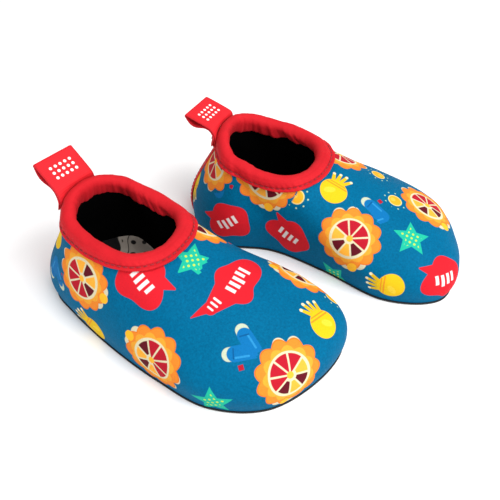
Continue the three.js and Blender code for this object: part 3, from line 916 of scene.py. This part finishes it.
# ---------------------------------------------------------------------------------------------
# Collar bindings. A band of soft red stretch cloth is folded over the opening's edge round an
# elastic. It stands as a plump roll, and its inner leg is gathered into small folds.
# ---------------------------------------------------------------------------------------------
ROLL_RADIUS = 3.3
ROLL_MIDDLE = 1.8
ROLL_SQUASH = 0.15
BAND_FACE = 1.5
BAND_INSIDE = 8.0
BAND_INNER_FACE = 4.8
STITCH_DROP = 7.0
GATHERS = 26


def arc(radius, angles):
    middle = ROLL_MIDDLE - ROLL_SQUASH
    reach = radius - ROLL_SQUASH
    return [(ROLL_RADIUS - radius * math.sin(a), middle - reach * math.cos(a)) for a in angles]


band_section = np.array(
    [(8.5, -0.45), (8.66, -0.8), (8.7, -1.2), (8.6, -1.52)]
    + [(drop, -BAND_FACE) for drop in np.linspace(8.3, 3.6, 13)]
    + arc(ROLL_RADIUS, np.linspace(0, math.pi, 19))
    + [(drop, BAND_INNER_FACE) for drop in np.linspace(3.8, BAND_INSIDE, 9)]
    + [(8.2, 4.6), (8.22, 4.25), (8.1, 3.95)]
    + [(drop, 3.8) for drop in (6.5, 5.0, 3.6)]
    + arc(2.05, np.linspace(math.pi, 0, 9))
    + [(drop, -0.32) for drop in (3.8, 5.5, 7.2, 8.3)]
)
OUTSIDE_END = 17
INSIDE_START, INSIDE_END = 32, 48

red_knit = Finish("red_stretch_cloth", 0.75, sheen=0.08, sheen_colour="FF7068", specular=0.1)
along, round_section = red_knit.uv("band")
knit = (along * 9.0).math("SINE") * (round_section * 11.0).math("SINE") * 0.5 + 0.5
shade = red_knit.cloud(8, 3) * 0.55 + red_knit.cloud(0.9) * 0.25 + knit * 0.2
band_colour = red_knit.mix("AA121B", "D2202A", shade)
# painted shade: the band's inner face, turned into the shoe, is mixed towards a darker red, with darker
# patches for the shade in its gathered folds
shaded_inner_side = inside(17.5 - round_section, 2.5)
painted_fold_shade = inside(red_knit.cloud(0.55, 2) - 0.47, 0.08)
band_colour = red_knit.mix(band_colour, "A81420", shaded_inner_side * (painted_fold_shade * 0.35 + 0.25))
# painted shade: a thin darker red line just above the stitch row stands in for the shade in the stitch
# groove
line = (round_section - 3.15).size()
band_colour = red_knit.mix(band_colour, "8E0F1A", inside(line - 0.28, 0.25) * 0.6)
red_knit.paint(band_colour)
red_knit.vary_roughness(red_knit.cloud(1.1) * 0.2 + 0.58)
red_knit.relief(knit * 0.5 + red_knit.cloud(0.5) * 0.5, 0.09)

step = np.roll(band_section, -1, axis=0) - np.roll(band_section, 1, axis=0)
facing = np.stack([step[:, 1], -step[:, 0]], axis=1)
facing /= np.linalg.norm(facing, axis=1, keepdims=True)
facing *= np.sign(np.sum(facing * (band_section - (5.0, 1.8)), axis=1))[:, None].clip(-1, 1)
drop_at, depth_at = band_section.T
point_number = np.arange(len(band_section))
on_outside = point_number < OUTSIDE_END
on_face = point_number < INSIDE_END
inner_leg = np.clip((depth_at - ROLL_MIDDLE) / 3.3, 0, 1) * np.clip(drop_at / 7, 0, 1) * on_face

for side in SIDES:
    t = np.arange(640) / 640
    stitch = stitch_count(t)[:, None]
    seed = 0 if side == "right" else 11.3
    folds = np.array([
        noise.noise(Vector((math.cos(a) * GATHERS / 6.2, math.sin(a) * GATHERS / 6.2, seed)))
        + 0.6 * noise.noise(Vector((math.cos(a) * GATHERS / 2.8, math.sin(a) * GATHERS / 2.8, seed + 5)))
        for a in 2 * math.pi * t])[:, None]
    gather = (0.55 + 0.45 * np.cos(4 * math.pi * t) ** 2)[:, None]
    plump = 0.22 * np.exp(-((drop_at - 4.6) / 1.7) ** 2) * on_outside
    valley = -0.42 * np.exp(-((drop_at - STITCH_DROP) / 0.45) ** 2) * on_outside
    lip = 0.22 * np.exp(-((drop_at - 8.4) / 0.6) ** 2) * on_outside
    pucker = np.exp(-((drop_at - 6.4) / 1.6) ** 2) * on_outside
    swell = plump + lip + valley * (0.8 + 0.2 * np.cos(2 * math.pi * stitch))
    swell = swell + 0.1 * pucker * np.cos(2 * math.pi * stitch)
    swell = swell + on_face * 0.25 * folds * (1 - inner_leg)
    swell = swell + inner_leg * gather * np.clip(0.25 + 2.4 * folds, -0.3, 1.8)
    drop = drop_at + facing[:, 0] * swell + inner_leg * on_face * 1.2 * np.roll(folds, 9, axis=0)
    from_heel = np.minimum(t, 1 - t)[:, None]
    slim_heel = 0.27 * np.exp(-((from_heel / 0.14) ** 2))
    full_throat = 0.16 * np.exp(-(((0.5 - from_heel) / 0.13) ** 2))
    fullness = 1 - slim_heel + full_throat
    depth = depth_at + facing[:, 1] * swell
    depth = np.where(depth > ROLL_MIDDLE, ROLL_MIDDLE + (depth - ROLL_MIDDLE) * fullness, depth)
    grid = wall(t[:, None], np.maximum(drop, -1.5), depth)
    collar = mesh_piece("collar_binding", side, grid, lofted(grid, ring=True))
    steps = np.linalg.norm(np.diff(band_section, axis=0), axis=1)
    ring_uv(collar, "band", grid.shape, stitch_count(np.arange(641) / 641 + 1e-9) * STITCH_PITCH,
            np.concatenate([[0], np.cumsum(steps), [steps.sum() + 0.2]]))
    wear(collar, red_knit)
    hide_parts(f"{side}_collar_band")
    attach(collar, f"{side}_shoe")

# ---------------------------------------------------------------------------------------------
# Collar elastics. A round white elastic, braided over rubber, runs inside the roll of each
# binding and is hidden by it.
# ---------------------------------------------------------------------------------------------
braid = Finish("white_braid", 0.85, sheen=0.2)
x, y, z = braid.xyz()
plait = ((x + z) * 4.5).math("SINE") * ((y - z) * 4.5).math("SINE") * 0.5 + 0.5
braid.paint(braid.mix("C9C8C2", "F6F5F0", plait))
braid.relief(plait, 0.15)
for side in SIDES:
    wear(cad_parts[f"{side}_collar_elastic"], braid)

# ---------------------------------------------------------------------------------------------
# Collar stitching. One row of dark red lockstitch holds the binding, 1.5 mm above its lower
# edge. Each stitch is sunk into the cloth at its ends, and the row stops at the pull loop.
# ---------------------------------------------------------------------------------------------
LOOP_CLEAR = 12.5

for side in SIDES:
    first = stitch_count(heel_station(LOOP_CLEAR, STITCH_DROP))
    last = stitch_count(heel_station(-LOOP_CLEAR, STITCH_DROP))
    starts = np.arange(first, last - 0.75, 1.0)
    span = np.array([0, 0.1, 0.36, 0.62, 0.72])
    count_at = starts[:, None] + span
    station = np.interp(count_at, stitch_count(np.arange(RIBS) / RIBS), np.arange(RIBS) / RIBS)
    lift = BAND_FACE + np.array([-0.5, -0.14, -0.04, -0.14, -0.5])
    sewing = threads("collar_stitches", side, wall(station, STITCH_DROP, -lift),
                     wall(station, STITCH_DROP, -1) - wall(station, STITCH_DROP, 0),
                     [0.16, 0.26, 0.28, 0.26, 0.16])
    wear(sewing, red_thread)
    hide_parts(f"{side}_collar_stitch")
    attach(sewing, f"{side}_shoe")

# ---------------------------------------------------------------------------------------------
# Pull loops. One length of 20 mm red tape is folded at its tip, its front layer lies flat and
# its back layer bows. Both ends are sewn to the back of the binding. White dots are printed on
# the front.
# ---------------------------------------------------------------------------------------------
TAPE = 0.9
TAPE_HALF = 10.0
LOOP_LENGTH = 15.5
LOOP_JOIN = 3
LOOP_BELLY = 2.6
BELLY_SKEW = 1.3
LOOP_LEAN = {"right": math.radians(34), "left": math.radians(15)}
LOOP_TURN = {"right": math.radians(-9), "left": math.radians(9)}
LOOP_SEAT = math.radians(45)
SEWN_FACE = 1.8
SEWN_TOP = 4.0
DOT_PITCH = 2.5
DOT_RADIUS = 0.66
DOTS_FROM_TIP = 7.2

tape_cloth = Finish("red_tape", 0.72, sheen=0.1, sheen_colour="FF7068", specular=0.15)
along, across = tape_cloth.uv("tape")
ribs = (along * 7.8).math("SINE") * 0.5 + 0.5
tape_shade = ribs * 0.3 + tape_cloth.cloud(5) * 0.5 + tape_cloth.cloud(0.8) * 0.2
tape_colour = tape_cloth.mix("BC161F", "DA232D", tape_shade)
tape_colour = tape_cloth.mix(tape_colour, "A01520", inside(9.3 - across.size(), 0.3) * 0.45)
dots = length_of(across.cell(DOT_PITCH), (along + DOTS_FROM_TIP).cell(DOT_PITCH)) - DOT_RADIUS
dots = dots.most((along + DOTS_FROM_TIP).size() - 1.5 * DOT_PITCH).most(across.size() - 2.5 * DOT_PITCH)
tape_colour = tape_cloth.mix(tape_colour, "FBF8F4", inside(dots, 0.12))
tape_cloth.paint(tape_colour)
tape_cloth.vary_roughness(tape_cloth.cloud(1.1) * 0.2 + 0.56)
tape_cloth.relief(ribs * 0.6 + tape_cloth.cloud(0.4) * 0.4, 0.08)

roll = wall(0.0, ROLL_RADIUS, ROLL_MIDDLE)
hinge_reach = ROLL_RADIUS + 0.3 + TAPE
hinge = np.array([
    0,
    roll[1] - hinge_reach * math.cos(LOOP_SEAT),
    roll[2] + hinge_reach * math.sin(LOOP_SEAT),
])


def bend(start, start_way, end, end_way, count):
    """A smooth turn of the tape between two of its straights, without its end points."""
    s = np.linspace(0, 1, count + 2)[1:-1, None, None]
    curve = (1 - s) ** 3 * start + 3 * (1 - s) ** 2 * s * (start + start_way)
    return curve + 3 * (1 - s) * s * s * (end - end_way) + s**3 * end


for side in SIDES:
    lean, turn = LOOP_LEAN[side], LOOP_TURN[side]
    about = np.array([[math.cos(turn), -math.sin(turn), 0], [math.sin(turn), math.cos(turn), 0], [0, 0, 1]])
    width_way = about @ (1, 0, 0)
    length_way = about @ (0, -math.cos(lean), math.sin(lean))
    front_way = about @ (0, math.sin(lean), math.cos(lean))
    edge_x = TAPE_HALF * np.sin(np.linspace(-1, 1, 25) * math.pi / 2)

    def sewn(drop, out):
        return wall(heel_station(edge_x, drop), drop, -out)

    def free(along_it, height):
        return hinge + width_way * edge_x[:, None] + length_way * along_it + front_way * height

    inner_out, outer_out = SEWN_FACE + TAPE / 2, SEWN_FACE + 1.5 * TAPE
    tip = LOOP_LENGTH - TAPE
    rise = sewn(SEWN_TOP, inner_out) - sewn(SEWN_TOP + 0.5, inner_out)
    lines = [sewn(drop, inner_out) for drop in np.linspace(BINDING_WIDTH, SEWN_TOP, 7)]
    lines += list(bend(lines[-1], rise * 3.4, free(1.5, TAPE / 2), length_way * 1.8, 9))
    front_start = len(lines)
    lines += [free(a, TAPE / 2 + 0.12 * math.sin(math.pi * a / tip)) for a in np.linspace(1.5, tip, 22)]
    front_end = len(lines)
    for round_tip in np.linspace(0.4, math.pi - 0.4, 6):
        lines.append(free(tip + TAPE / 2 * math.sin(round_tip), TAPE / 2 * math.cos(round_tip)))
    for share in np.linspace(1, 0, 20):
        bow = LOOP_BELLY * math.sin(math.pi * share**BELLY_SKEW)
        lines.append(free(LOOP_JOIN + (tip - LOOP_JOIN) * share, -TAPE / 2 - bow))
    lines.append(free(1.5, -TAPE / 2))
    rise = sewn(SEWN_TOP, outer_out) - sewn(SEWN_TOP + 0.5, outer_out)
    lines += list(bend(lines[-1], -length_way * 1.4, sewn(SEWN_TOP, outer_out), -rise * 3.0, 9))
    lines += [sewn(drop, outer_out) for drop in np.linspace(SEWN_TOP, BINDING_WIDTH, 7)]
    middle = np.stack(lines)
    normal = np.cross(np.gradient(middle, axis=0), np.gradient(middle, axis=1))
    normal /= np.linalg.norm(normal, axis=2, keepdims=True)
    # woven edges are thinner than the middle
    thinning = np.sqrt(np.clip((TAPE_HALF - np.abs(edge_x)) / 0.5, 0.12, 1))[:, None]
    half = TAPE / 2 * thinning * 0.97
    grid = np.concatenate([middle + normal * half, (middle - normal * half)[:, ::-1]], axis=1)
    loop = mesh_piece("tape_loop", side, grid, lofted(grid, ring=False), crease=60)
    steps = np.linalg.norm(np.diff(middle[:, 12], axis=0), axis=1)
    run = np.concatenate([[0], np.cumsum(steps)])
    run = run - run[front_end]
    run[front_end + 2:] += 100
    tape_edges = np.concatenate([edge_x, edge_x[::-1], edge_x[:1]])
    ring_uv(loop, "tape", grid.shape, np.append(run, run[-1]), tape_edges)
    wear(loop, tape_cloth)
    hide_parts(f"{side}_pull_loop", f"{side}_loop_sewn_end")
    axis = length_way + np.array([0, 0, 1])
    axis /= np.linalg.norm(axis)
    start, end = placed(np.stack([hinge - axis * 1.5, hinge + axis * 1.5]), side)
    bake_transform(loop)

# ---------------------------------------------------------------------------------------------
# Bar tacks. Dense zigzag stitching in dark red thread locks both ends of the tape to the back
# of the binding.
# ---------------------------------------------------------------------------------------------
TACK_HALF = 7.0
TACK_TOP = 5.0
TACK_DEPTH = 2.0
PASSES = 36

for side in SIDES:
    x_at = np.linspace(-TACK_HALF, TACK_HALF, PASSES + 1)
    middles, outwards = [], []
    for k in range(PASSES):
        share = np.array([0, 0.12, 0.5, 0.88, 1])
        up = share if k % 2 else 1 - share
        drop = TACK_TOP + TACK_DEPTH * up
        across_at = x_at[k] + (x_at[k + 1] - x_at[k]) * share
        t = np.array([heel_station(a, d) for a, d in zip(across_at, drop)])
        lift = SEWN_FACE + 2 * TAPE + np.array([-0.15, 0.15, 0.25, 0.15, -0.15])
        middles.append(wall(t, drop, -lift))
        outwards.append(wall(t, drop, -1) - wall(t, drop, 0))
    tack = threads("bar_tack", side, np.array(middles), np.array(outwards), [0.16, 0.24, 0.26, 0.24, 0.16])
    wear(tack, red_thread)
    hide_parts(f"{side}_loop_bar_tack")
    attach(tack, f"{side}_shoe")

# ---------------------------------------------------------------------------------------------
# Floor, lights and camera. The pair stands on a plain white sweep under large soft lights, seen
# from the toes and the little-toe side of the right shoe.
# ---------------------------------------------------------------------------------------------
CAMERA_TURN = math.radians(120.86)
CAMERA_LIFT = math.radians(43.46)
CAMERA_DISTANCE = 0.29605
CAMERA_AIM = np.array([-36.56, 12.18, 20.0])
CAMERA_LENS = 45.37

scene = bpy.context.scene
scene.view_settings.view_transform = "Standard"

sweep = bpy.data.meshes.new("floor_sweep")
floor_corners = [(-4, -4, -0.0002), (4, -4, -0.0002), (4, 4, -0.0002), (-4, 4, -0.0002)]
sweep.from_pydata(floor_corners, [], [(0, 1, 2, 3)])
floor = bpy.data.objects.new("floor_sweep", sweep)
scene.collection.objects.link(floor)
paper = Finish("white_paper", 0.9, specular=0.1)
paper.paint(paper.mix("F4F4F4", "FBFBFB", paper.cloud(60)))
floor.data.materials.append(paper.material)

world = bpy.data.worlds.new("studio")
scene.world = world
world.use_nodes = True
world.node_tree.nodes["Background"].inputs["Color"].default_value = (1, 1, 1, 1)
world.node_tree.nodes["Background"].inputs["Strength"].default_value = 0.64


def soft_light(name, turn, lift, distance, size, power):
    """A large square light aimed at the shoes."""
    turn, lift = math.radians(turn), math.radians(lift)
    back = Vector((math.sin(turn) * math.cos(lift), -math.cos(turn) * math.cos(lift), math.sin(lift)))
    lamp = bpy.data.lights.new(name, "AREA")
    lamp.size = size
    lamp.energy = power
    light = bpy.data.objects.new(name, lamp)
    light.location = back * distance
    light.rotation_mode = "QUATERNION"
    light.rotation_quaternion = back.to_track_quat("Z", "Y")
    scene.collection.objects.link(light)


soft_light("key", 172, 50, 1.1, 0.8, 15)
soft_light("fill", 70, 40, 1.4, 1.2, 3)

lens = bpy.data.cameras.new("camera")
lens.sensor_width = 36
lens.lens = CAMERA_LENS
lens.clip_start = 0.01
camera = bpy.data.objects.new("camera", lens)
back = Vector((math.sin(CAMERA_TURN) * math.cos(CAMERA_LIFT), -math.cos(CAMERA_TURN) * math.cos(CAMERA_LIFT),
               math.sin(CAMERA_LIFT)))
camera.location = Vector((CAMERA_AIM + ORIGIN["right"]) / 1000) + back * CAMERA_DISTANCE
camera.rotation_mode = "QUATERNION"
camera.rotation_quaternion = back.to_track_quat("Z", "Y")
scene.collection.objects.link(camera)
scene.camera = camera
